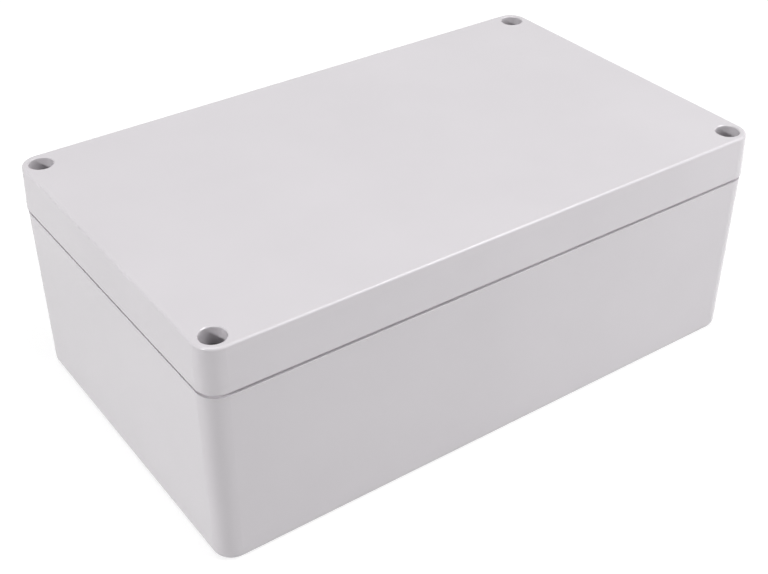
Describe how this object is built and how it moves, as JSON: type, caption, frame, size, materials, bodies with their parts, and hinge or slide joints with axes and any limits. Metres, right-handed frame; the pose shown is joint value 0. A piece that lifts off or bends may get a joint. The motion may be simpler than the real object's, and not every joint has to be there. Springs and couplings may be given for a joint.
{
  "type": "junction box",
  "caption": "Closed rectangular junction box of moulded plastic: a deep base and a gasketed lid held by black screws in its corner wells.",
  "frame": {"origin": "middle of the flat back face, which the box stands on", "axes": "+X along the length, +Y across the width, +Z from the back face out through the lid"},
  "size_m": [0.2, 0.12, 0.075],
  "materials": {
    "housing": "satin",
    "gasket": "matte",
    "washer": "matte",
    "insert": "satin",
    "screw": "satin"
  },
  "bodies": {
    "base": {"base": "housing", "threaded_inserts": "insert"},
    "lid": {"lid": "housing", "lid_gasket": "gasket"},
    "washer_1": {"screw_washer_1": "washer"},
    "screw_1": {"cover_screw_1": "screw"},
    "washer_2": {"screw_washer_2": "washer"},
    "screw_2": {"cover_screw_2": "screw"},
    "washer_3": {"screw_washer_3": "washer"},
    "screw_3": {"cover_screw_3": "screw"},
    "washer_4": {"screw_washer_4": "washer"},
    "screw_4": {"cover_screw_4": "screw"}
  },
  "joints": [
    {"name": "lid_lift", "type": "slide", "parent": "base", "child": "lid", "axis": [0, 0, 1], "range_m": [0, 0.08]},
    {"name": "screw_1_rise", "type": "slide", "parent": "lid", "child": "washer_1", "axis": [0, 0, 1], "range_m": [0, 0.01001]},
    {"name": "screw_1_turn", "type": "hinge", "parent": "washer_1", "child": "screw_1", "pos_m": [-0.0935, -0.0535, 0.0678], "axis": [0, 0, 1], "range_deg": [0, 5150]},
    {"name": "screw_2_rise", "type": "slide", "parent": "lid", "child": "washer_2", "axis": [0, 0, 1], "range_m": [0, 0.01001]},
    {"name": "screw_2_turn", "type": "hinge", "parent": "washer_2", "child": "screw_2", "pos_m": [0.0935, -0.0535, 0.0678], "axis": [0, 0, 1], "range_deg": [0, 5150]},
    {"name": "screw_3_rise", "type": "slide", "parent": "lid", "child": "washer_3", "axis": [0, 0, 1], "range_m": [0, 0.01001]},
    {"name": "screw_3_turn", "type": "hinge", "parent": "washer_3", "child": "screw_3", "pos_m": [0.0935, 0.0535, 0.0678], "axis": [0, 0, 1], "range_deg": [0, 5150]},
    {"name": "screw_4_rise", "type": "slide", "parent": "lid", "child": "washer_4", "axis": [0, 0, 1], "range_m": [0, 0.01001]},
    {"name": "screw_4_turn", "type": "hinge", "parent": "washer_4", "child": "screw_4", "pos_m": [-0.0935, 0.0535, 0.0678], "axis": [0, 0, 1], "range_deg": [0, 5150]}
  ],
  "couplings": [
    {"joint": "screw_1_turn", "follows": "screw_1_rise", "rad_per_m": 8976},
    {"joint": "screw_2_turn", "follows": "screw_2_rise", "rad_per_m": 8976},
    {"joint": "screw_3_turn", "follows": "screw_3_rise", "rad_per_m": 8976},
    {"joint": "screw_4_turn", "follows": "screw_4_rise", "rad_per_m": 8976}
  ]
}
